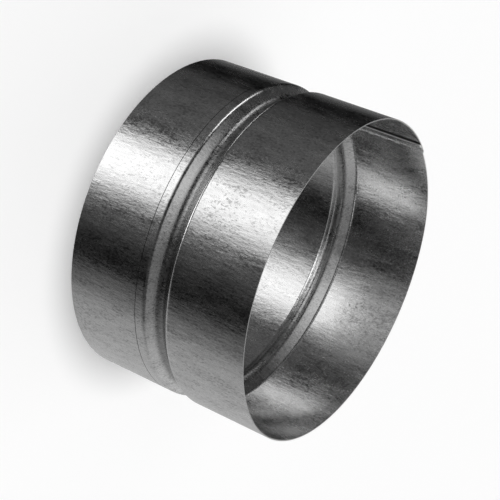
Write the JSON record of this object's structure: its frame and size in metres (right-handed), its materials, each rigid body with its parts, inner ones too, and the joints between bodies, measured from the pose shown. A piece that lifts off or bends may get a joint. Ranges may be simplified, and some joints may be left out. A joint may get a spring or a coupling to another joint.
{
  "type": "straight duct connector",
  "caption": "Straight female coupling for round ventilation duct: a short rolled sheet-steel sleeve with a spot-welded lap seam and an inward stop bead at mid-length.",
  "frame": {"origin": "centre of the lower rim's plane, on the duct's axis", "axes": "+Z along the duct's axis, from the lower socket to the upper one; the picture looks from the -Y side into the upper mouth"},
  "size_m": [0.1618, 0.1614, 0.098],
  "materials": {
    "galvanised_sheet": "hot-dip galvanised sheet steel, half-bright, with fine grain and faint rolling streaks"
  },
  "bodies": {
    "root": {"coupling_sleeve": "galvanised_sheet"}
  },
  "joints": []
}
